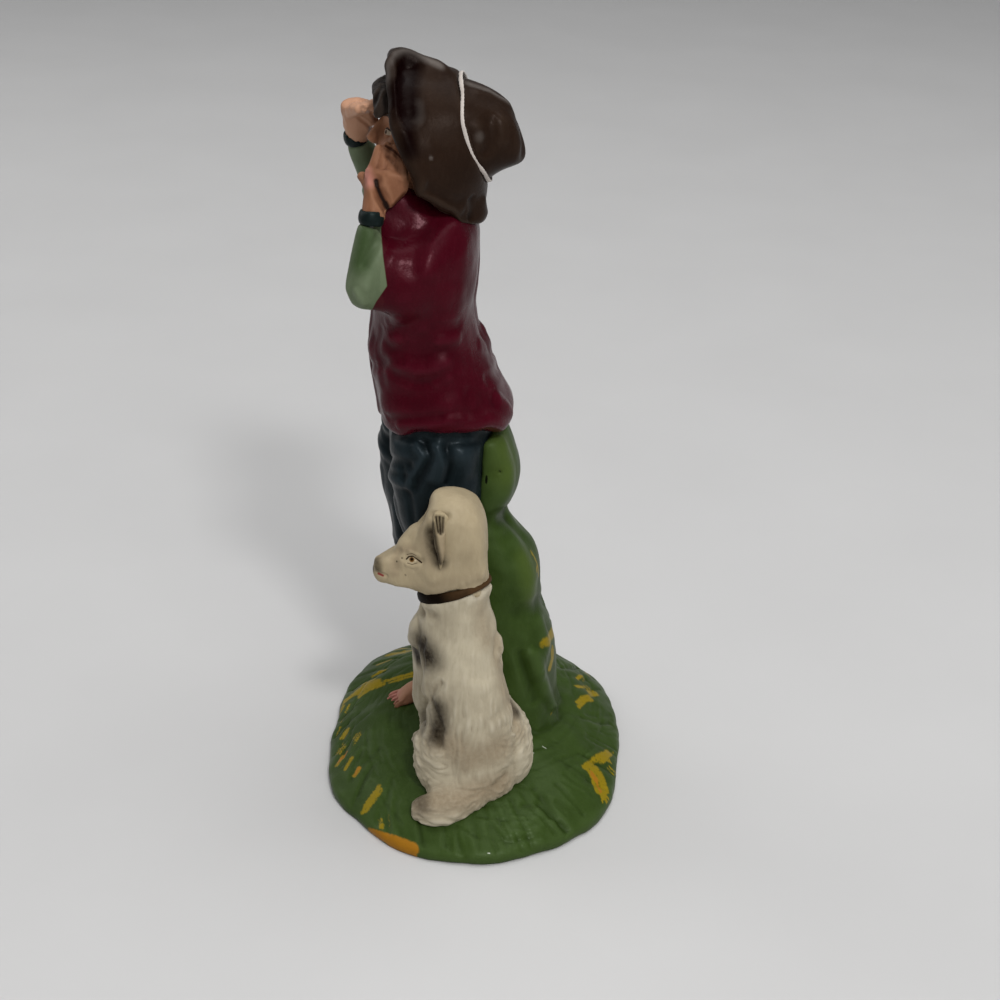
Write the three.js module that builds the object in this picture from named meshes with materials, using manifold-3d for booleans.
// Papier-mache shepherd figurine with a sitting dog.
// Pressed pulp castings are glued over a bent wire armature on a hollow grass mound, closed by a card.
// Millimetres, +Z up. The shepherd faces -Y and the dog sits at the shepherd's left, +X. The origin is
// under the middle of the mound, on the surface that it stands on.
import * as THREE from "three";
import { mergeVertices } from "three/addons/utils/BufferGeometryUtils.js";
import Module from "manifold-3d";

const wasm = await Module();
wasm.setup();

// Driving dimensions of the grass mound.
const MOUND_LENGTH = 90; // side to side, along X
const MOUND_WIDTH = 66; // front to back, along Y
const MOUND_HEIGHT = 12.5;
const MOUND_RIM = 2; // upright edge below the dome
const MOUND_WALL = 3.5;
const MOUND_CROWN = 3.2; // power of the dome: higher is flatter on top and steeper at the edge
const MOUND_SQUARENESS = 2.25; // 2 is an ellipse
const MOUND_WAVE = 0.6; // hand-pressed waviness of the outline
const CARD_THICKNESS = 1;
const CARD_LEDGE = 2; // the rim's width left round the card

// Driving dimensions of the shepherd, from the ground up.
const STANCE_X = -0.5; // the middle of the body, side to side
const FOOT_LENGTH = 16;
const TOES = 5;
const LEFT_FOOT_TURN = 6; // degrees from straight ahead, towards the shepherd's left
const RIGHT_FOOT_TURN = 9;
const CALF_LENGTH = 37.5; // ground to knee
const THIGH_LENGTH = 33; // knee to the vest's hem
const TORSO_LENGTH = 44; // hem to shoulder
const NECK_LENGTH = 14.2; // shoulder to the middle of the head
const CHEST_WIDTH = 32;
const HEM_WIDTH = 34;
const NECKLINE_WIDTH = 13; // of the vest's open neck, at its top
const NECKLINE_DEPTH = 16;
const SLEEVE_RADIUS = 5.8; // upper arm
const ARMHOLE_WALL = 1; // the vest's thickness round the sleeves
const ARMHOLE_DROP = 2.4; // extra depth of the cap below the arm, where it runs into the body
const WRIST_RADIUS = 2.4;
const CUFF_HEIGHT = 3;
const CUFF_WALL = 0.4; // how far a cuff stands out from its sleeve
const FINGERS = 4;
const FINGER_PITCH = 1.9;
const HEAD_WIDTH = 15.2;
const HEAD_DEPTH = 18;
const HEAD_HEIGHT = 20.6;
const HEAD_TILT = 12; // degrees that the face looks up
const HAIR_THICKNESS = 1.1;
const FORELOCK_RADIUS = 2.4;
const HAT_RADIUS = 10.3; // of the crown, at the band
const HAT_TILT = 17; // degrees that the hat's axis rises towards the back
const CROWN_DEPTH = 10;
const CROWN_SLUMP = 3.4; // how far the soft crown drops at its end
const BRIM_REACH = 9.2; // band to edge, all round
const BRIM_FLARE = 0.95; // power of the flare: 1 is a plain cone
const BRIM_PEAK = 4.1; // added to the reach over the brow and taken off at the nape
const BRIM_CHEEK = 2.9; // added to the reach at the cheeks and taken off at brow and nape
const BRIM_HALF_HEIGHT = 16.8; // of the edge, from the hat's axis to brow or nape
const BRIM_HALF_WIDTH = 15.3; // of the edge, from the hat's axis to a cheek
const BRIM_JAW = 1.8; // added to the reach between cheek and nape, where the brim covers the jaw
const BRIM_TROUGH = 0.8; // depth of the hollow behind the edge, between brow and cheek
const BRIM_THICKNESS = 2.2;
const BRIM_ROLL = 1.8; // radius of the rolled edge
const BAND_WIDTH = 1.3;
const BAND_THICKNESS = 0.6;
const ROCK_LENGTH = 69; // ground to the top of the support, under the hem

// Driving dimensions of the dog.
const DOG_X = 28.5;
const DOG_Y = 0;
const DOG_HEIGHT = 44; // ground to collar
const DOG_SKULL_WIDTH = 14;
const DOG_MUZZLE_LENGTH = 9.4;
const DOG_EAR_LENGTH = 11;
const COLLAR_HEIGHT = 2.2;
const COLLAR_WALL = 0.8;
const COLLAR_TILT = 16; // degrees that the collar rises towards the nape
const COLLAR_ROLL = 14; // degrees that it rises towards the dog's left
const DOG_NECK_WIDTH = 13;
const DOG_NECK_DEPTH = 14;

// Wires, and the clearance that glue fills between neighbours.
const WIRE_RADIUS = 0.8;
const WIRE_CLINCH = 5; // bent end under the mound
const GLUE_GAP = 0.3;

// Levels that follow from the lengths.
const GROUND = MOUND_HEIGHT;
const KNEE = GROUND + CALF_LENGTH;
const HEM = KNEE + THIGH_LENGTH;
const SHOULDER = HEM + TORSO_LENGTH;
const HEAD = new THREE.Vector3(STANCE_X, -13, SHOULDER + NECK_LENGTH);

const COLOURS = {
  grass: 0x3c5a2b,
  card: 0x8a7a5f,
  skin: 0xc08a66,
  foot: 0xc98372,
  breeches: 0x1c2b30,
  vest: 0x5a0f24,
  sleeve: 0x6f8a66,
  cuff: 0x22343a,
  hair: 0x1a1614,
  felt: 0x3d2d27,
  band: 0xe4ddd2,
  dog: 0xd9cfc0,
  collar: 0x2e1f18,
  wire: 0x6b6660,
};

const vec = (x, y, z) => new THREE.Vector3(x, y, z);
const UP = vec(0, 0, 1);
const DOWN = vec(0, 0, -1);
const radians = THREE.MathUtils.degToRad;

// A closed triangle mesh as a solid, turned round if its faces point inwards.
function solidOf(points, triangles) {
  const made = (order) =>
    new wasm.Manifold(
      new wasm.Mesh({
        numProp: 3,
        vertProperties: new Float32Array(points.flatMap((p) => [p.x, p.y, p.z])),
        triVerts: new Uint32Array(order),
      }),
    );
  const solid = made(triangles);
  return solid.volume() > 0 ? solid : made(triangles.toReversed());
}

// The wall between neighbouring rings of points, two triangles for each side.
function wall(rings, closed) {
  const sides = rings[0].length;
  const triangles = [];
  const last = closed ? rings.length : rings.length - 1;
  for (let i = 0; i < last; i++) {
    const next = (i + 1) % rings.length;
    for (let j = 0; j < sides; j++) {
      const k = (j + 1) % sides;
      const [a, b, c, d] = [i * sides + j, i * sides + k, next * sides + j, next * sides + k];
      triangles.push(a, b, d, a, d, c);
    }
  }
  return triangles;
}

// A skin over a stack of rings, with a fan over each end.
function skinned(rings) {
  const sides = rings[0].length;
  const points = rings.flat();
  const triangles = wall(rings, false);
  const middle = (ring) => ring.reduce((sum, p) => sum.add(p), vec(0, 0, 0)).divideScalar(sides);
  const foot = points.push(middle(rings[0])) - 1;
  const top = points.push(middle(rings.at(-1))) - 1;
  const lastRing = (rings.length - 1) * sides;
  for (let j = 0; j < sides; j++) {
    const k = (j + 1) % sides;
    triangles.push(foot, k, j, top, lastRing + j, lastRing + k);
  }
  return solidOf(points, triangles);
}

// A skin over rings that follow each other all the way round, such as a brim.
const hoop = (rings) => solidOf(rings.flat(), wall(rings, true));

// An oval of points round a centre: across and along are its two directions, with their radii.
function oval(centre, across, along, a, b, sides, squareness = 2) {
  const bulge = (x) => Math.sign(x) * Math.abs(x) ** (2 / squareness);
  return Array.from({ length: sides }, (_, j) => {
    const angle = (2 * Math.PI * j) / sides;
    return centre
      .clone()
      .addScaledVector(across, a * bulge(Math.cos(angle)))
      .addScaledVector(along, b * bulge(Math.sin(angle)));
  });
}

// A limb: a smooth loft through stations [x, y, z, a, b], where a is the radius along the side direction.
// Each end is flat or rounded off by its own length, and grow makes the same limb fatter all over. The
// sections stand square to the path, or to the axis if one is given.
function limb(stations, options = {}) {
  const { side = vec(1, 0, 0), sides = 12, steps = 8, squareness = 2, round = [0, 0] } = options;
  const { axis = null, capSteps = 2, grow = 0 } = options;
  const centres = new THREE.CatmullRomCurve3(stations.map(([x, y, z]) => vec(x, y, z)));
  const radii = new THREE.CatmullRomCurve3(stations.map(([, , , a, b = a]) => vec(a + grow, b + grow, 0)));
  const rings = [];
  const ring = (t, shift, scale) => {
    const tangent = axis ?? centres.getTangent(t);
    const across = side.clone().addScaledVector(tangent, -side.dot(tangent)).normalize();
    const along = tangent.clone().cross(across);
    const centre = centres.getPoint(t).addScaledVector(tangent, shift);
    const size = radii.getPoint(t);
    return oval(centre, across, along, size.x * scale, size.y * scale, sides, squareness);
  };
  const tip = 0.2; // the last ring's share of the radius, closed by its fan
  for (let i = 0; i < capSteps && round[0] > 0; i++) {
    const angle = (Math.PI / 2) * (1 - i / capSteps);
    rings.push(ring(0, -(round[0] + grow) * Math.sin(angle), Math.max(tip, Math.cos(angle))));
  }
  for (let i = 0; i <= steps; i++) {
    const shift = i === 0 && !round[0] ? -grow : i === steps && !round[1] ? grow : 0;
    rings.push(ring(i / steps, shift, 1));
  }
  for (let i = 1; i <= capSteps && round[1] > 0; i++) {
    const angle = (Math.PI / 2) * (i / capSteps);
    rings.push(ring(1, (round[1] + grow) * Math.sin(angle), Math.max(tip, Math.cos(angle))));
  }
  return skinned(rings);
}

// A three.js geometry as a solid, for plain cutting shapes.
function solidOfGeometry(geometry) {
  const bare = geometry.clone().deleteAttribute("normal").deleteAttribute("uv");
  const merged = mergeVertices(bare, 1e-4);
  const position = merged.attributes.position;
  const points = Array.from({ length: position.count }, (_, i) => vec().fromBufferAttribute(position, i));
  return solidOf(points, Array.from(merged.index.array));
}

const joined = (...solids) => solids.reduce((all, one) => all.add(one));
const cut = (solid, ...tools) => tools.reduce((left, tool) => left.subtract(tool), solid);

const figurine = new THREE.Group();

// Adds a finished casting to the figurine as its own named mesh, without the crumbs that a cut leaves.
function piece(name, solid, colour, roughness = 0.55, metalness = 0) {
  const bodies = solid.decompose().sort((one, other) => other.volume() - one.volume());
  const mesh = bodies[0].getMesh();
  const geometry = new THREE.BufferGeometry();
  geometry.setAttribute("position", new THREE.BufferAttribute(mesh.vertProperties.slice(), 3));
  geometry.setIndex(new THREE.BufferAttribute(mesh.triVerts.slice(), 1));
  geometry.computeVertexNormals();
  const paint = new THREE.MeshStandardMaterial({ color: colour, roughness, metalness });
  const made = new THREE.Mesh(geometry, paint);
  made.name = name;
  figurine.add(made);
}

// Grass mound: a hollow dome with a wavy oval outline.
function moundRing(share, z, inset, sides) {
  const wave = (angle) => MOUND_WAVE * Math.cos(6 * angle + 0.7);
  const ring = oval(vec(0, 0, z), vec(1, 0, 0), vec(0, 1, 0), 1, 1, sides, MOUND_SQUARENESS);
  return ring.map((p, j) => {
    const out = wave((2 * Math.PI * j) / sides) - inset;
    return vec(p.x * share * (MOUND_LENGTH / 2 + out), p.y * share * (MOUND_WIDTH / 2 + out), z);
  });
}

// Height of the dome at a share of the way from its middle to its rim.
const domeHeight = (share) => MOUND_RIM + (MOUND_HEIGHT - MOUND_RIM) * (1 - share ** MOUND_CROWN);

// Height of the dome under a point.
function groundAt(x, y) {
  const share = Math.hypot(x / (MOUND_LENGTH / 2), y / (MOUND_WIDTH / 2));
  return domeHeight(Math.min(share, 1));
}

function moundShell(lift, inset, sides, shares = [0.97, 0.91, 0.8, 0.62, 0.38, 0.12]) {
  const dome = shares.map((share) => moundRing(share, domeHeight(share) + lift, inset, sides));
  const floor = Math.min(0, lift);
  const rim = [floor, MOUND_RIM + lift].map((z) => moundRing(1, z, inset, sides));
  return skinned([...rim, ...dome]);
}

const MOUND_SIDES = 26;
const moundGrown = moundShell(GLUE_GAP, -GLUE_GAP, MOUND_SIDES);

function moundCasting() {
  const hollow = moundShell(-MOUND_WALL, MOUND_WALL, MOUND_SIDES / 2, [0.9, 0.7, 0.35]);
  const seatLevels = [-1, CARD_THICKNESS + GLUE_GAP];
  const cardSeat = skinned(seatLevels.map((z) => moundRing(1, z, CARD_LEDGE, MOUND_SIDES)));
  return cut(moundShell(0, 0, MOUND_SIDES), hollow, cardSeat);
}

function closingCard() {
  return skinned([0, CARD_THICKNESS].map((z) => moundRing(1, z, CARD_LEDGE + GLUE_GAP, MOUND_SIDES)));
}

// Wire armature: leg wires clinched under the mound, a spine wire, one wire through both arms, and the
// dog's own.
const LEFT_ANKLE = vec(STANCE_X + 8.5, 0.5, GROUND + 2.5);
const RIGHT_ANKLE = vec(STANCE_X - 1.8, -9, GROUND + 2.5);
const LEFT_KNEE = vec(STANCE_X + 8.8, -7.5, KNEE);
const RIGHT_KNEE = vec(STANCE_X - 6.4, -12.7, KNEE);
const CLINCH_Z = CARD_THICKNESS + 2 * WIRE_RADIUS + GLUE_GAP;

function wire(points, grow = 0) {
  const stations = points.map((p) => [p.x, p.y, p.z, WIRE_RADIUS]);
  return limb(stations, { side: vec(0.3, 0.9, 0.2), sides: 5, steps: 2 * (points.length - 1), grow });
}

// A leg wire starts with its clinched end, runs up the leg and stops inside the hips.
function legWirePath(ankle, knee, hip) {
  const out = Math.sign(ankle.x - STANCE_X) * WIRE_CLINCH;
  return [
    vec(ankle.x + out, ankle.y, CLINCH_Z),
    vec(ankle.x + out / 4, ankle.y, CLINCH_Z),
    ankle,
    knee,
    vec(hip, -9.5, HEM - 5),
    vec(hip, -9.5, HEM + 5),
  ];
}

const leftLegPath = legWirePath(LEFT_ANKLE, LEFT_KNEE, STANCE_X + 5);
const rightLegPath = legWirePath(RIGHT_ANKLE, RIGHT_KNEE, STANCE_X - 5);
const spinePath = [
  vec(STANCE_X, -9.5, HEM - 4),
  vec(STANCE_X, -12, HEM + TORSO_LENGTH / 2),
  HEAD.clone().add(vec(0, 1, 3)),
];

// Rock support behind the legs: one lumpy casting from the mound to the vest's hem.
function rockCasting(grow = 0) {
  const at = (share) => GROUND + share * ROCK_LENGTH;
  const stations = [
    [STANCE_X, 7.5, at(-0.11), 15, 12.5],
    [STANCE_X, 7, at(0.03), 13.8, 11.2],
    [STANCE_X, 6.4, at(0.18), 12.8, 10.8],
    [STANCE_X, 5.9, at(0.3), 12.4, 10.6],
    [STANCE_X, 4.4, at(0.4), 11.6, 8.7],
    [STANCE_X, 4.5, at(0.5), 11.6, 9.1],
    [STANCE_X, 2.8, at(0.6), 10.6, 6.9],
    [STANCE_X, 0.1, at(0.69), 9.2, 3.8],
    [STANCE_X, 1.8, at(0.78), 9.8, 5.9],
    [STANCE_X, 1.9, at(0.87), 9.8, 5.9],
    [STANCE_X, 0.6, at(0.97), 9, 4.2],
  ];
  return limb(stations, { axis: UP, sides: 11, steps: 11, squareness: 2.3, round: [0, 1.5], grow });
}

// Lower legs: bare calves and feet, each pressed in one with its toes, whose tops plug into the breeches.
function calf(ankle, knee, grow = 0) {
  const middle = ankle.clone().lerp(knee, 0.55);
  const plug = 5; // how far the top reaches into the breeches
  const stations = [
    [ankle.x, ankle.y, ankle.z - 2, 3, 3.4],
    [ankle.x, ankle.y, ankle.z + 3, 2.7, 3],
    [middle.x, middle.y + 0.6, middle.z, 4.2, 4.6],
    [knee.x, knee.y, knee.z - 3, 3.8, 4.2],
    [knee.x, knee.y - 0.5, knee.z + plug, 4, 4.4],
  ];
  return limb(stations, { axis: UP, sides: 9, steps: 5, grow });
}

// A foot, without its toes. The turn is from straight ahead.
function foot(ankle, turn, grow = 0) {
  const { across, sole } = footing(ankle, turn);
  const station = (reach, rise, a, b) => {
    const p = sole(reach);
    return [p.x, p.y, p.z + rise, a, b];
  };
  const stations = [
    station(-4, 0.6, 2.6, 2.6),
    station(-1, 1.3, 2.9, 3.4),
    station(4, 1, 3.2, 2.7),
    station(8, 0.4, 3.5, 1.7),
    station(FOOT_LENGTH - 6, 0.1, 3.4, 1.3),
  ];
  return limb(stations, { side: across, sides: 7, steps: 4, round: [1.6, 1], grow });
}

// The directions of a foot, and the ground under a point of it.
function footing(ankle, turn) {
  const forward = vec(Math.sin(turn), -Math.cos(turn), 0);
  const across = vec(Math.cos(turn), Math.sin(turn), 0);
  const sole = (reach, out = 0) => {
    const p = ankle.clone().addScaledVector(forward, reach).addScaledVector(across, out);
    return vec(p.x, p.y, groundAt(p.x, p.y));
  };
  return { across, sole };
}

function lowerLeg(ankle, knee, turn) {
  const { across, sole } = footing(ankle, turn);
  const toes = Array.from({ length: TOES }, (_, i) => {
    const out = (i - (TOES - 1) / 2) * 1.45;
    const length = FOOT_LENGTH - 4 - 0.5 * Math.abs(i - 1);
    const [heel, tip] = [sole(7.5, out * 0.8), sole(length, out)];
    const stations = [
      [heel.x, heel.y, heel.z + 0.5, 0.8, 0.9],
      [tip.x, tip.y, tip.z + 0.3, 0.85, 0.8],
    ];
    return limb(stations, { side: across, sides: 5, steps: 1, round: [0, 0.8], capSteps: 1 });
  });
  return joined(calf(ankle, knee), foot(ankle, turn), ...toes);
}

// Knee breeches: hips and two legs in one casting, with a waist that plugs up into the vest.
function hips(grow = 0) {
  const stations = [
    [STANCE_X, -9.5, HEM - 15, 11.5, 9],
    [STANCE_X, -9.3, HEM - 8, 14, 11],
    [STANCE_X, -9, HEM, 14, 11],
    [STANCE_X, -10, HEM + 8, 11.5, 9],
  ];
  return limb(stations, { axis: UP, sides: 12, steps: 3, squareness: 2.3, round: [2, 0], grow });
}

// One leg of the breeches, from the hips to its hem below the knee.
function breechesLeg(knee, outer, front, back, grow = 0) {
  const [middle, half] = [(front + back) / 2, (back - front) / 2];
  const stations = [
    [STANCE_X + outer, middle, HEM - 3, 7.6, half],
    [STANCE_X + outer, middle, HEM - 15, 7.4, half - 0.3],
    [knee.x, knee.y - 0.6, KNEE + 8, 6.6, 7.4],
    [knee.x, knee.y - 0.3, KNEE + 1.5, 6.1, 6.5],
    [knee.x, knee.y, KNEE - 2, 6.4, 6.7],
  ];
  return limb(stations, { axis: DOWN, sides: 11, steps: 5, round: [3, 0.8], grow });
}

const leftBreeches = (grow) => breechesLeg(LEFT_KNEE, 8.3, -19.5, 0.2, grow);
const rightBreeches = (grow) => breechesLeg(RIGHT_KNEE, -8, -22.8, -4.5, grow);

// Vest: the body casting, flared to a rolled hem, with sockets for waist, arms and neck.
function vestCasting(grow = 0) {
  const half = CHEST_WIDTH / 2;
  const hem = HEM_WIDTH / 2;
  const at = (share) => HEM + share * TORSO_LENGTH;
  const stations = [
    [STANCE_X, -8.2, at(0), hem - 0.6, 13.4],
    [STANCE_X, -8.1, at(0.05), hem, 14],
    [STANCE_X, -9.6, at(0.15), hem - 0.9, 13.3],
    [STANCE_X, -11.5, at(0.28), half - 0.6, 12.5],
    [STANCE_X, -12.9, at(0.42), half - 0.9, 10.9],
    [STANCE_X, -13.1, at(0.57), half - 0.3, 10.1],
    [STANCE_X, -12.4, at(0.73), half + 0.4, 10.1],
    [STANCE_X, -11.8, at(0.87), half + 0.4, 9.6],
    [STANCE_X, -11.3, at(0.96), half - 1.6, 8.6],
    [STANCE_X, -11.2, at(1.03), half - 5.5, 6.6],
  ];
  return limb(stations, { axis: UP, sides: 17, steps: 9, squareness: 2.35, round: [0.8, 2.4], grow });
}

// The vest's open neck: a wedge that narrows downwards, filled by the shirt front.
function neckOpening(grow = 0) {
  const half = NECKLINE_WIDTH / 2 + grow;
  const shape = new THREE.Shape();
  shape.moveTo(-half, 4);
  shape.lineTo(half, 4);
  shape.lineTo(0, -NECKLINE_DEPTH - grow);
  const wedge = new THREE.ExtrudeGeometry(shape, { depth: 30, bevelEnabled: false });
  wedge.rotateX(Math.PI / 2).translate(STANCE_X, HEAD.y - 2.5 + grow, SHOULDER);
  return solidOfGeometry(wedge);
}

// The vest's armhole: a short cap over the upper arm, open at its end.
function armhole(shoulder, elbow, reach, grow = 0) {
  const end = shoulder.clone().lerp(elbow, reach);
  const radius = SLEEVE_RADIUS + ARMHOLE_WALL;
  const drop = ARMHOLE_DROP / 2;
  const stations = [
    [shoulder.x, shoulder.y, shoulder.z - drop, radius + 0.8 + drop, radius + 0.8],
    [end.x, end.y, end.z - drop, radius + drop, radius],
  ];
  return limb(stations, { side: UP, sides: 12, steps: 1, round: [3, 0], grow });
}

// Shirt sleeves: upper arm and bent forearm, from a socket in the vest to the cuff.
const LEFT_ELBOW = vec(STANCE_X + 15.6, -23.3, SHOULDER - 11.6);
const RIGHT_ELBOW = vec(STANCE_X - 18, -20.5, SHOULDER - 7.5);
const LEFT_WRIST = HEAD.clone().add(vec(14.2, -9.9, -13.8));
const RIGHT_WRIST = HEAD.clone().add(vec(-12.2, -14.4, -4.4));

const ELBOW_RADIUS = SLEEVE_RADIUS - 1;
const FOREARM_SIDE = vec(1, 0.2, 0);

function upperArm(shoulder, elbow, grow = 0) {
  const between = elbow.clone().lerp(shoulder, 0.5);
  const stations = [
    [shoulder.x, shoulder.y, shoulder.z, SLEEVE_RADIUS],
    [between.x, between.y, between.z, SLEEVE_RADIUS],
    [elbow.x, elbow.y, elbow.z, ELBOW_RADIUS],
  ];
  return limb(stations, { side: UP, sides: 10, steps: 2, round: [0, ELBOW_RADIUS * 0.85], grow });
}

function sleeve(shoulder, elbow, wrist, grow = 0) {
  const middle = elbow.clone().lerp(wrist, 0.5);
  const forearm = [
    [elbow.x, elbow.y, elbow.z, ELBOW_RADIUS],
    [middle.x, middle.y, middle.z, (ELBOW_RADIUS + WRIST_RADIUS) / 2],
    [wrist.x, wrist.y, wrist.z, WRIST_RADIUS],
  ];
  const options = { side: FOREARM_SIDE, sides: 10, steps: 3, round: [ELBOW_RADIUS * 0.85, 0], grow };
  return joined(upperArm(shoulder, elbow, grow), limb(forearm, options));
}

const LEFT_SHOULDER = vec(STANCE_X + 10.5, -11.5, SHOULDER - 8.4);
const RIGHT_SHOULDER = vec(STANCE_X - 10, -12, SHOULDER - 6.5);

const leftArmhole = (grow) => armhole(LEFT_SHOULDER, LEFT_ELBOW, 0.74, grow);
const rightArmhole = (grow) => armhole(RIGHT_SHOULDER, RIGHT_ELBOW, 0.62, grow);

// Cuffs: dark bands that close the end of each sleeve round the wrist.
function cuff(elbow, wrist) {
  const along = wrist.clone().sub(elbow).normalize();
  const start = wrist.clone().addScaledVector(along, GLUE_GAP);
  const end = start.clone().addScaledVector(along, CUFF_HEIGHT);
  const radius = WRIST_RADIUS + CUFF_WALL;
  const stations = [
    [start.x, start.y, start.z, radius - 0.3],
    [(start.x + end.x) / 2, (start.y + end.y) / 2, (start.z + end.z) / 2, radius],
    [end.x, end.y, end.z, radius - 0.5],
  ];
  return limb(stations, { side: FOREARM_SIDE, sides: 12, steps: 2 });
}

// Hands: a palm with four fingers and a thumb. Points run from inside the cuff to the knuckles and the
// fingertips.
function palm({ wrist, knuckles, across }, grow = 0) {
  const middle = wrist.clone().lerp(knuckles, 0.55);
  const stations = [
    [wrist.x, wrist.y, wrist.z, WRIST_RADIUS - 0.5, WRIST_RADIUS - 0.6],
    [middle.x, middle.y, middle.z, 3, 2.1],
    [knuckles.x, knuckles.y, knuckles.z, 3.9, 1.9],
  ];
  return limb(stations, { side: across, sides: 8, steps: 2, round: [0, 0.8], grow });
}

function hand(pose, grow = 0) {
  const { wrist, knuckles, tips, across, thumbTip } = pose;
  const middle = wrist.clone().lerp(knuckles, 0.55);
  const fingers = Array.from({ length: FINGERS }, (_, i) => {
    const out = (i - (FINGERS - 1) / 2) * FINGER_PITCH;
    const root = knuckles.clone().addScaledVector(across, out).lerp(wrist, 0.08);
    const shorter = 0.1 * Math.abs(i - 1);
    const tip = tips.clone().addScaledVector(across, out * 0.9).lerp(knuckles, shorter);
    const bow = root.clone().lerp(tip, 0.5);
    const stations = [
      [root.x, root.y, root.z, 1, 1.3],
      [bow.x, bow.y, bow.z, 1, 1.15],
      [tip.x, tip.y, tip.z, 0.75, 0.8],
    ];
    return limb(stations, { side: across, sides: 5, steps: 2, round: [0, 0.7], grow });
  });
  const thumb = [
    [middle.x, middle.y, middle.z, 1.5],
    [thumbTip.x, thumbTip.y, thumbTip.z, 0.85],
  ];
  return joined(
    palm(pose, grow),
    ...fingers,
    limb(thumb, { side: across, sides: 6, steps: 1, round: [0, 0.7], grow }),
  );
}

// A hand starts just outside its sleeve, inside the cuff.
function handRoot(elbow, wrist) {
  const along = wrist.clone().sub(elbow).normalize();
  return wrist.clone().addScaledVector(along, 3 * GLUE_GAP);
}

// The left hand is cupped beside the mouth.
const LEFT_HAND = {
  wrist: handRoot(LEFT_ELBOW, LEFT_WRIST),
  knuckles: HEAD.clone().add(vec(10.6, -7.4, -4.6)),
  tips: HEAD.clone().add(vec(7.6, -6.4, 0.4)),
  across: vec(0.1, 1, 0.1).normalize(),
  thumbTip: HEAD.clone().add(vec(8, -12, -5.8)),
};

// The right hand shades the eyes, palm down over the brow.
const RIGHT_HAND = {
  wrist: handRoot(RIGHT_ELBOW, RIGHT_WRIST),
  knuckles: HEAD.clone().add(vec(-6.6, -13.8, 4.4)),
  tips: HEAD.clone().add(vec(0.6, -11.2, 6.2)),
  across: vec(0.25, 0.9, 0.3).normalize(),
  thumbTip: HEAD.clone().add(vec(-8.2, -11.2, 1.4)),
};

// Head and neck, tilted up, with a nose and a chin. The neck plugs into the vest.
const headTilt = new THREE.Matrix4()
  .makeTranslation(HEAD.x, HEAD.y, HEAD.z)
  .multiply(new THREE.Matrix4().makeRotationX(radians(-HEAD_TILT)));
const onHead = (x, y, z) => vec(x, y, z).applyMatrix4(headTilt);

function skull(grow = 0) {
  const [w, d, h] = [HEAD_WIDTH / 2, HEAD_DEPTH / 2, HEAD_HEIGHT / 2];
  const profile = [
    [-0.95, -3.4, 0.4, 0.3],
    [-0.82, -2.8, 0.64, 0.58],
    [-0.6, -1.9, 0.8, 0.78],
    [-0.25, -0.9, 0.94, 0.93],
    [0.1, -0.2, 1, 1],
    [0.45, 0.3, 1, 1],
    [0.73, 0.6, 0.87, 0.88],
    [0.93, 0.8, 0.56, 0.58],
    [1, 0.8, 0.24, 0.26],
  ];
  const axes = [vec(1, 0, 0), vec(0, 1, 0).applyAxisAngle(vec(1, 0, 0), radians(-HEAD_TILT))];
  const rings = profile.map(([z, y, a, b]) => {
    return oval(onHead(0, y, z * (h + grow)), ...axes, a * w + grow, b * d + grow, 12);
  });
  return skinned(rings);
}

function neck(grow = 0) {
  const neckFoot = vec(HEAD.x, HEAD.y + 2.5, SHOULDER - 4);
  const neckTop = onHead(0, 0.5, -6);
  const stations = [
    [neckFoot.x, neckFoot.y, neckFoot.z, 4.6],
    [neckTop.x, neckTop.y, neckTop.z, 4.8],
  ];
  return limb(stations, { axis: UP, sides: 10, steps: 1, grow });
}

function headCasting() {
  const feature = (from, to, a, b, tip) => {
    const [p, q] = [onHead(...from), onHead(...to)];
    const stations = [
      [p.x, p.y, p.z, a, b],
      [q.x, q.y, q.z, tip, tip],
    ];
    return limb(stations, { sides: 6, steps: 1, round: [0, 0.8] });
  };
  const face = HEAD_DEPTH / 2;
  return joined(
    neck(),
    skull(),
    feature([0, -face + 0.6, 2.4], [0, -face - 1.2, -2.2], 0.8, 0.9, 1.3),
    feature([0, -face + 2.6, -9.4], [0, -face + 2.2, -9.2], 1.8, 1.6, 1.6),
  );
}

// Hair: a pulp cap over the skull, cut back from the face along a slanting hairline, with a forelock that
// stands out under the brim.
function hairCasting(grow = 0) {
  const face = new THREE.BoxGeometry(60, 60, 60);
  face.translate(0, -30, 0).rotateX(radians(47)).translate(0, -2, -1.5).applyMatrix4(headTilt);
  const cap = cut(skull(HAIR_THICKNESS + grow), solidOfGeometry(face));
  const brow = -HEAD_DEPTH / 2;
  const lock = [
    [-5.5, brow + 1, 6.8],
    [0, brow - 1.2, 8],
    [5.5, brow + 0.2, 7],
  ].map((at) => onHead(...at));
  const stations = lock.map(({ x, y, z }) => [x, y, z, FORELOCK_RADIUS, FORELOCK_RADIUS * 0.8]);
  return joined(cap, limb(stations, { side: vec(0, 1, 0), sides: 8, steps: 4, round: [1.4, 1.4], grow }));
}

// Hat: a soft crown that slumps behind the head, a turned-up brim round it and a white cord at the join.
const HAT_CENTRE = HEAD.clone().add(vec(0, 8.7, 2.5));
const hatBack = vec(0, Math.cos(radians(HAT_TILT)), Math.sin(radians(HAT_TILT)));
const hatUp = vec(0, -hatBack.z, hatBack.y);
const hatSide = vec(1, 0, 0);
const HAT_SIDES = 22;

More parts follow.
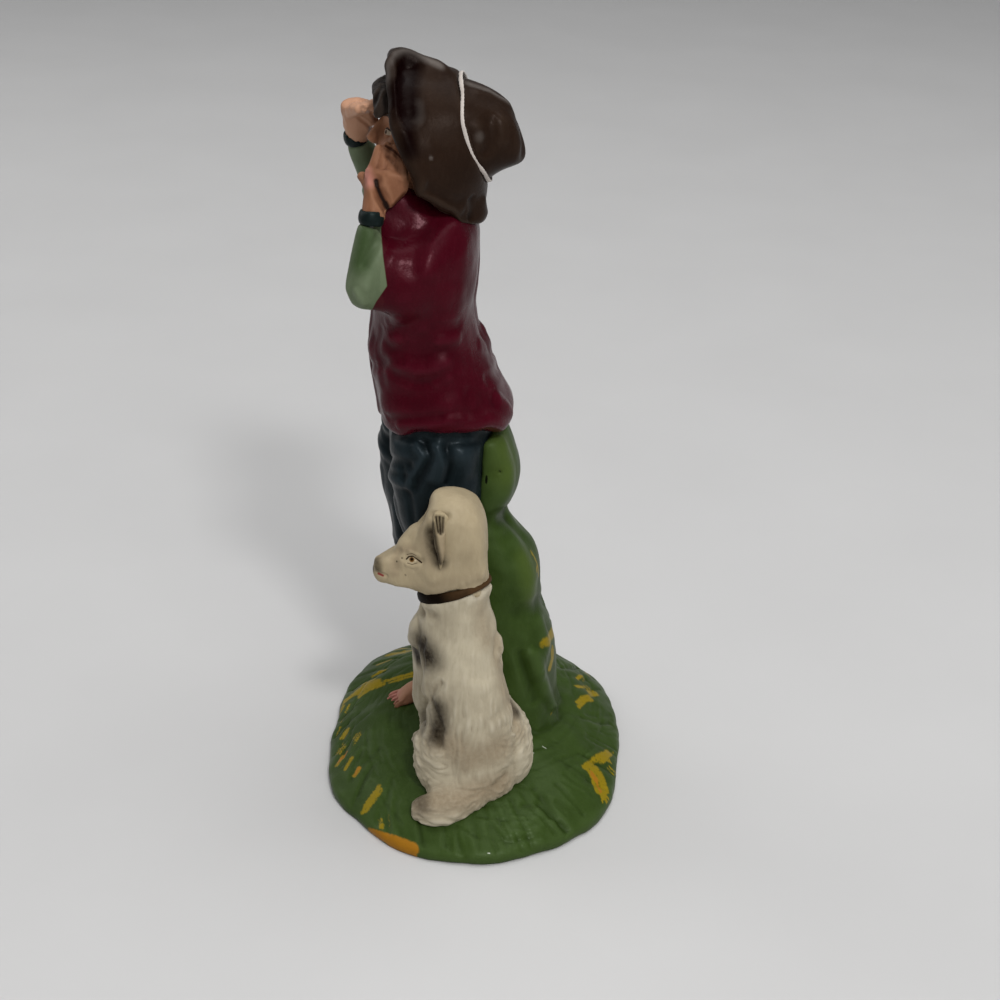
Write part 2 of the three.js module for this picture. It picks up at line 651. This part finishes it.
function hatCrown(grow = 0) {
  const profile = [
    [-0.08, 1],
    [0.2, 0.9],
    [0.5, 0.77],
    [0.75, 0.66],
    [0.9, 0.56],
    [0.98, 0.42],
    [1, 0.2],
  ];
  const rings = profile.map(([share, size]) => {
    const back = share * CROWN_DEPTH + Math.sign(share) * grow;
    const centre = HAT_CENTRE.clone().addScaledVector(hatBack, back);
    centre.z -= CROWN_SLUMP * Math.max(share, 0) ** 1.5;
    const radius = size * HAT_RADIUS + grow;
    return oval(centre, hatSide, hatUp, radius * 0.97, radius, 16, 2.2);
  });
  return skinned(rings);
}

// A point of the brim: turn runs round the hat from its top, share from the band to the edge, and lift
// stands off the felt.
function brimPoint(turn, share, lift) {
  const [c, s] = [Math.cos(turn), Math.sin(turn)];
  const jaw = BRIM_JAW * 2 * Math.max(0, -c) * Math.abs(s);
  const reach = BRIM_REACH + BRIM_PEAK * c - BRIM_CHEEK * Math.cos(2 * turn) + jaw;
  const flare = share ** BRIM_FLARE;
  const trough = BRIM_TROUGH * 2 * Math.max(0, c) * Math.abs(s) * Math.sin(Math.PI * share) ** 2;
  const up = THREE.MathUtils.lerp(HAT_RADIUS * c, BRIM_HALF_HEIGHT * c + 1.5 * s * s, flare);
  const out = THREE.MathUtils.lerp(HAT_RADIUS * s, BRIM_HALF_WIDTH * s, flare);
  return HAT_CENTRE.clone()
    .addScaledVector(hatUp, up + (lift - trough) * c)
    .addScaledVector(hatSide, out + (lift - trough) * s)
    .addScaledVector(hatBack, -reach * share);
}

function hatBrim() {
  const half = BRIM_THICKNESS / 2;
  const shares = [0, 0.38, 0.68, 0.88];
  const roll = [0.9, 0.35, -0.35, -0.9]; // turns of the rolled edge, from its outer to its inner side
  const rings = Array.from({ length: HAT_SIDES }, (_, j) => {
    const turn = (2 * Math.PI * j) / HAT_SIDES;
    const outer = shares.map((share) => brimPoint(turn, share, half));
    const inner = shares.map((share) => brimPoint(turn, share, -half)).reverse();
    const edge = roll.map((angle) => {
      const centre = brimPoint(turn, 1, BRIM_ROLL * Math.sin(angle * Math.PI * 0.6));
      return centre.addScaledVector(hatBack, -BRIM_ROLL * Math.cos(angle * Math.PI * 0.6));
    });
    return [...outer, ...edge, ...inner];
  });
  return hoop(rings);
}

function hatBand() {
  const seat = HAT_RADIUS + GLUE_GAP + BAND_THICKNESS / 2;
  const rings = Array.from({ length: HAT_SIDES }, (_, j) => {
    const turn = (2 * Math.PI * j) / HAT_SIDES;
    const out = hatUp.clone().multiplyScalar(Math.cos(turn)).addScaledVector(hatSide, Math.sin(turn));
    const centre = HAT_CENTRE.clone().addScaledVector(out, seat);
    centre.addScaledVector(hatBack, GLUE_GAP + BAND_WIDTH / 2);
    return oval(centre, out, hatBack, BAND_THICKNESS / 2, BAND_WIDTH / 2, 6);
  });
  return hoop(rings);
}

// Dog: a sitting body, with the head, ears, legs, haunches and tail pressed on round it.
const DOG_GROUND = groundAt(DOG_X, DOG_Y);
const DOG_COLLAR = vec(DOG_X - 4.6, DOG_Y - 4.9, DOG_GROUND + DOG_HEIGHT);

function dogBody(grow = 0) {
  const at = (share) => DOG_GROUND + share * DOG_HEIGHT;
  const stations = [
    [DOG_X - 1.6, DOG_Y - 0.4, at(-0.1), 8.2, 9.6],
    [DOG_X - 1.6, DOG_Y - 0.5, at(0.05), 8.6, 10],
    [DOG_X - 1.6, DOG_Y - 0.6, at(0.2), 8.6, 9.8],
    [DOG_X - 2, DOG_Y - 1.2, at(0.36), 8.3, 9.1],
    [DOG_X - 2.6, DOG_Y - 2.4, at(0.52), 7.9, 8.6],
    [DOG_X - 3.6, DOG_Y - 3.6, at(0.68), 7.5, 8.3],
    [DOG_X - 4.2, DOG_Y - 4.3, at(0.82), 6.9, 7.8],
    [DOG_COLLAR.x, DOG_COLLAR.y, at(0.96), DOG_NECK_WIDTH / 2, DOG_NECK_DEPTH / 2],
    [DOG_COLLAR.x, DOG_COLLAR.y, at(1.08), DOG_NECK_WIDTH / 2, DOG_NECK_DEPTH / 2],
  ];
  return limb(stations, { axis: UP, sides: 13, steps: 8, grow });
}

function dogHead(grow = 0) {
  const half = DOG_SKULL_WIDTH / 2;
  const { x, y, z } = DOG_COLLAR;
  const stop = y - 6.8;
  const nose = stop - DOG_MUZZLE_LENGTH;
  const stations = [
    [x, y + 5.1, z + 8.3, half - 1.5, 9.2],
    [x, y + 3.6, z + 9.7, half - 0.4, 10.7],
    [x + 0.1, y + 0.9, z + 10.3, half, 11.4],
    [x + 0.2, y - 2.6, z + 10.4, half, 11.4],
    [x + 0.3, y - 4.6, z + 10.2, half - 0.2, 10.9],
    [x + 0.5, stop + 1, z + 9, half - 1, 8.8],
    [x + 0.8, stop - 0.6, z + 7.7, half - 2, 7.2],
    [x + 1.1, stop - DOG_MUZZLE_LENGTH * 0.3, z + 6.4, 4.1, 4.9],
    [x + 1.5, stop - DOG_MUZZLE_LENGTH * 0.66, z + 5.2, 3.1, 3.3],
    [x + 1.7, nose + 1, z + 4.8, 2.5, 2.6],
  ];
  const form = { sides: 13, steps: 10, squareness: 3.2, round: [1.2, 1.4] };
  return limb(stations, { axis: vec(0, -1, 0), ...form, grow });
}

// An ear: a flat flap that hangs from the side of the skull. The head is cocked, so the right one is lower.
function dogEar(side, grow = 0) {
  const { x, y, z } = DOG_COLLAR;
  const out = side * (DOG_SKULL_WIDTH / 2);
  const top = z + 18 + side;
  const stations = [
    [x + out * 0.9, y - 2.2, top, 1, 1.8],
    [x + out * 1.1, y - 2.8, top - DOG_EAR_LENGTH * 0.4, 1, 1.8],
    [x + out * 1.13, y - 3.2, top - DOG_EAR_LENGTH * 0.8, 0.8, 1.3],
    [x + out * 1.08, y - 3.4, top - DOG_EAR_LENGTH, 0.5, 0.7],
  ];
  return limb(stations, { axis: DOWN, sides: 8, steps: 4, round: [1, 0.5], grow });
}

function dogCollar(grow = 0) {
  const turned = new THREE.Euler(radians(COLLAR_TILT), radians(-COLLAR_ROLL), 0);
  const [across, along, up] = [vec(1, 0, 0), vec(0, 1, 0), vec(0, 0, 1)].map((v) => v.applyEuler(turned));
  const seat = COLLAR_WALL / 2; // from the neck to the middle of the strap
  const sides = 22;
  const rings = Array.from({ length: sides }, (_, j) => {
    const turn = (2 * Math.PI * j) / sides;
    const out = across.clone().multiplyScalar(Math.cos(turn)).addScaledVector(along, Math.sin(turn));
    const centre = DOG_COLLAR.clone()
      .addScaledVector(across, (DOG_NECK_WIDTH / 2 + seat) * Math.cos(turn))
      .addScaledVector(along, (DOG_NECK_DEPTH / 2 + seat) * Math.sin(turn));
    return oval(centre, out, up, COLLAR_WALL / 2 + grow, COLLAR_HEIGHT / 2 + grow, 6, 2.5);
  });
  return hoop(rings);
}

function dogForeleg(shoulder, paw, grow = 0) {
  const elbow = shoulder.clone().lerp(paw, 0.35);
  const wrist = shoulder.clone().lerp(paw, 0.74);
  const leg = [
    [shoulder.x + 1.6, shoulder.y, shoulder.z + 5, 2.6, 2.8],
    [shoulder.x, shoulder.y, shoulder.z - 1, 4, 4.3],
    [elbow.x + 0.6, elbow.y, elbow.z, 3.2, 3.4],
    [wrist.x, wrist.y, wrist.z, 2.3, 2.4],
    [paw.x, paw.y, paw.z + 1, 2.5, 2.6],
    [paw.x, paw.y, paw.z - 4, 2.6, 2.7],
  ];
  const toe = [
    [paw.x, paw.y, paw.z + 0.6, 2.3, 1.8],
    [paw.x - 2.6, paw.y - 0.9, paw.z + 0.1, 2.4, 1.6],
  ];
  return joined(
    limb(leg, { axis: DOWN, sides: 9, steps: 6, round: [2, 0], grow }),
    limb(toe, { side: vec(0.3, -0.95, 0), sides: 7, steps: 1, round: [0, 1.4], grow }),
  );
}

const onGround = (x, y) => vec(x, y, groundAt(x, y));
const DOG_SHOULDER = DOG_COLLAR.z - 13;
const leftForeleg = (grow) =>
  dogForeleg(vec(DOG_X - 7.4, DOG_Y - 10.4, DOG_SHOULDER), onGround(DOG_X - 11, DOG_Y - 12.2), grow);
const rightForeleg = (grow) =>
  dogForeleg(vec(DOG_X - 9, DOG_Y - 0.5, DOG_SHOULDER), onGround(DOG_X - 12.8, DOG_Y - 2.6), grow);

// A haunch: the folded thigh, with the hind paw in front of it.
function dogHaunch(x, side, grow = 0) {
  const thigh = [
    [x, DOG_Y + side * 6.8, DOG_GROUND - 3, 5.4, 4.4],
    [x, DOG_Y + side * 7.2, DOG_GROUND + 5, 6.8, 5.4],
    [x - 0.4, DOG_Y + side * 6.6, DOG_GROUND + 11, 6.2, 4.9],
    [x - 0.8, DOG_Y + side * 5.2, DOG_GROUND + 16, 4, 3],
  ];
  const heel = onGround(x - 3, DOG_Y + side * 10.8);
  const toe = onGround(DOG_X - 11, DOG_Y + side * 11.4);
  const paw = [
    [heel.x, heel.y, heel.z, 2.2, 2],
    [toe.x, toe.y, toe.z + 0.2, 2.3, 1.8],
  ];
  return joined(
    limb(thigh, { axis: UP, sides: 11, steps: 5, round: [0, 1.5], grow }),
    limb(paw, { side: vec(0, 1, 0), sides: 7, steps: 1, round: [1, 1.5], grow }),
  );
}

// The dog sits askew, so its right haunch lies further back than the left one.
const leftHaunch = (grow) => dogHaunch(DOG_X - 0.5, -1, grow);
const rightHaunch = (grow) => dogHaunch(DOG_X - 4.5, 1, grow);

function dogTail(grow = 0) {
  const stations = [
    [DOG_X + 0.5, DOG_Y + 4.5, 3, 3.2],
    [DOG_X + 5, DOG_Y + 0.2, 3.4, 4],
    [DOG_X + 7.8, DOG_Y - 4.6, 3.6, 4.4],
    [DOG_X + 8.4, DOG_Y - 8.4, 3.2, 4],
    [DOG_X + 7.6, DOG_Y - 11.2, 2.2, 2.8],
  ].map(([x, y, a, b]) => [x, y, groundAt(x, y) + 1.6, a, b]);
  return limb(stations, { side: vec(1, 0, 0), sides: 9, steps: 7, round: [2, 1.4], grow });
}

const dogWirePath = [
  vec(DOG_X - 1, DOG_Y - 1 + WIRE_CLINCH, CLINCH_Z),
  vec(DOG_X - 1, DOG_Y - 1 + WIRE_CLINCH / 4, CLINCH_Z),
  vec(DOG_X - 1, DOG_Y - 1, DOG_GROUND + 4),
  vec(DOG_X - 3, DOG_Y - 3.4, DOG_GROUND + DOG_HEIGHT * 0.6),
  DOG_COLLAR.clone().add(vec(0, 0, 12)),
];

// One wire runs through both arms, behind the spine wire.
const armPath = [
  LEFT_WRIST.clone().lerp(LEFT_ELBOW, -0.25),
  LEFT_ELBOW.clone().lerp(LEFT_WRIST, 0.12),
  LEFT_SHOULDER.clone().lerp(LEFT_ELBOW, 0.4),
  vec(STANCE_X + 4, -8.4, SHOULDER - 5.4),
  vec(STANCE_X - 4, -8.4, SHOULDER - 5.4),
  RIGHT_SHOULDER.clone().lerp(RIGHT_ELBOW, 0.4),
  RIGHT_ELBOW.clone().lerp(RIGHT_WRIST, 0.12),
  RIGHT_WRIST.clone().lerp(RIGHT_ELBOW, -0.25),
];

// Bores for the wires, and each casting fatter by the glue gap, to seat its neighbours.
const bores = {
  leftLeg: wire(leftLegPath, GLUE_GAP),
  rightLeg: wire(rightLegPath, GLUE_GAP),
  spine: wire(spinePath, GLUE_GAP),
  arms: wire(armPath, GLUE_GAP),
  dog: wire(dogWirePath, GLUE_GAP),
};
const room = {
  leftCalf: calf(LEFT_ANKLE, LEFT_KNEE, GLUE_GAP),
  rightCalf: calf(RIGHT_ANKLE, RIGHT_KNEE, GLUE_GAP),
  leftFoot: foot(LEFT_ANKLE, radians(LEFT_FOOT_TURN), GLUE_GAP),
  rightFoot: foot(RIGHT_ANKLE, radians(RIGHT_FOOT_TURN), GLUE_GAP),
  hips: hips(GLUE_GAP),
  leftBreeches: leftBreeches(GLUE_GAP),
  rightBreeches: rightBreeches(GLUE_GAP),
  vest: vestCasting(GLUE_GAP),
  leftArmhole: leftArmhole(GLUE_GAP),
  rightArmhole: rightArmhole(GLUE_GAP),
  leftSleeve: sleeve(LEFT_SHOULDER, LEFT_ELBOW, LEFT_WRIST, GLUE_GAP),
  rightSleeve: sleeve(RIGHT_SHOULDER, RIGHT_ELBOW, RIGHT_WRIST, GLUE_GAP),
  leftHand: hand(LEFT_HAND, GLUE_GAP),
  rightHand: hand(RIGHT_HAND, GLUE_GAP),
  leftPalm: palm(LEFT_HAND, GLUE_GAP),
  rightPalm: palm(RIGHT_HAND, GLUE_GAP),
  neck: neck(GLUE_GAP),
  skull: skull(GLUE_GAP),
  hair: hairCasting(GLUE_GAP),
  crown: hatCrown(GLUE_GAP),
  dogBody: dogBody(GLUE_GAP),
  dogHead: dogHead(GLUE_GAP),
  dogCollar: dogCollar(GLUE_GAP),
  dogLeftHaunch: leftHaunch(GLUE_GAP),
  dogRightHaunch: rightHaunch(GLUE_GAP),
};

// The mound, its card and the support.
piece("base_card", closingCard(), COLOURS.card, 0.9);
piece("base_mound", cut(moundCasting(), bores.leftLeg, bores.rightLeg, bores.dog), COLOURS.grass);
const rockSeat = [moundGrown, room.hips, room.leftBreeches, room.rightBreeches];
const rockFeet = [room.leftCalf, room.leftFoot, room.rightCalf, room.rightFoot];
piece("rock_support", cut(rockCasting(), ...rockSeat, ...rockFeet), COLOURS.grass);

// The wire armature.
piece("left_leg_wire", wire(leftLegPath), COLOURS.wire, 0.4, 1);
piece("right_leg_wire", wire(rightLegPath), COLOURS.wire, 0.4, 1);
piece("spine_wire", wire(spinePath), COLOURS.wire, 0.4, 1);
piece("arm_wire", wire(armPath), COLOURS.wire, 0.4, 1);
piece("dog_wire", wire(dogWirePath), COLOURS.wire, 0.4, 1);

// The shepherd, from the feet up.
const leftLeg = lowerLeg(LEFT_ANKLE, LEFT_KNEE, radians(LEFT_FOOT_TURN));
const rightLeg = lowerLeg(RIGHT_ANKLE, RIGHT_KNEE, radians(RIGHT_FOOT_TURN));
piece("left_lower_leg", cut(leftLeg, moundGrown, bores.leftLeg), COLOURS.foot);
piece("right_lower_leg", cut(rightLeg, moundGrown, bores.rightLeg), COLOURS.foot);
const breeches = joined(hips(), leftBreeches(), rightBreeches());
const breechesBores = [bores.leftLeg, bores.rightLeg, bores.spine];
piece("breeches", cut(breeches, room.leftCalf, room.rightCalf, ...breechesBores), COLOURS.breeches, 0.4);
const vestSockets = [room.hips, room.leftBreeches, room.rightBreeches, room.neck];
const vestArms = [room.leftSleeve, room.rightSleeve, bores.arms];
const vest = joined(vestCasting(), leftArmhole(), rightArmhole());
const vestOpen = cut(vest, ...vestSockets, ...vestArms, neckOpening(GLUE_GAP), bores.spine);
piece("vest", vestOpen, COLOURS.vest, 0.35);
piece("shirt_front", cut(vestCasting().intersect(neckOpening()), room.neck), COLOURS.sleeve);
const leftSleeve = sleeve(LEFT_SHOULDER, LEFT_ELBOW, LEFT_WRIST);
const rightSleeve = sleeve(RIGHT_SHOULDER, RIGHT_ELBOW, RIGHT_WRIST);
piece("left_sleeve", cut(leftSleeve, room.leftPalm, bores.arms), COLOURS.sleeve);
piece("right_sleeve", cut(rightSleeve, room.rightPalm, bores.arms), COLOURS.sleeve);
piece("left_cuff", cut(cuff(LEFT_ELBOW, LEFT_WRIST), room.leftPalm, bores.arms), COLOURS.cuff);
piece("right_cuff", cut(cuff(RIGHT_ELBOW, RIGHT_WRIST), room.rightPalm, bores.arms), COLOURS.cuff);
piece("left_hand", cut(hand(LEFT_HAND), room.skull, room.hair, bores.arms), COLOURS.skin);
piece("right_hand", cut(hand(RIGHT_HAND), room.skull, room.hair, bores.arms), COLOURS.skin);
piece("head", cut(headCasting(), bores.spine), COLOURS.skin);
piece("hair", cut(hairCasting(), room.skull, room.neck), COLOURS.hair);
piece("hat_crown", cut(hatCrown(), room.skull, room.hair), COLOURS.felt, 0.45);
const brimSeat = [room.crown, room.hair, room.leftHand, room.rightHand];
const brimRest = [room.vest, room.leftArmhole, room.rightArmhole];
piece("hat_brim", cut(hatBrim(), ...brimSeat, ...brimRest), COLOURS.felt, 0.45);
piece("hat_band", hatBand(), COLOURS.band);

// The dog.
piece("dog_body", cut(dogBody(), moundGrown, room.dogHead, room.dogCollar, bores.dog), COLOURS.dog);
piece("dog_head", cut(dogHead(), room.dogCollar, room.leftBreeches, bores.dog), COLOURS.dog);
piece("dog_collar", dogCollar(), COLOURS.collar);
piece("dog_left_ear", cut(dogEar(1), room.dogHead), COLOURS.dog);
piece("dog_right_ear", cut(dogEar(-1), room.dogHead, room.leftBreeches), COLOURS.dog);
const dogSeat = [moundGrown, room.dogBody];
piece("dog_left_foreleg", cut(leftForeleg(), ...dogSeat, room.dogLeftHaunch), COLOURS.dog);
piece("dog_right_foreleg", cut(rightForeleg(), ...dogSeat, room.leftCalf), COLOURS.dog);
piece("dog_left_haunch", cut(leftHaunch(), ...dogSeat), COLOURS.dog);
piece("dog_right_haunch", cut(rightHaunch(), ...dogSeat), COLOURS.dog);
piece("dog_tail", cut(dogTail(), ...dogSeat, room.dogLeftHaunch, room.dogRightHaunch), COLOURS.dog);

export default figurine;
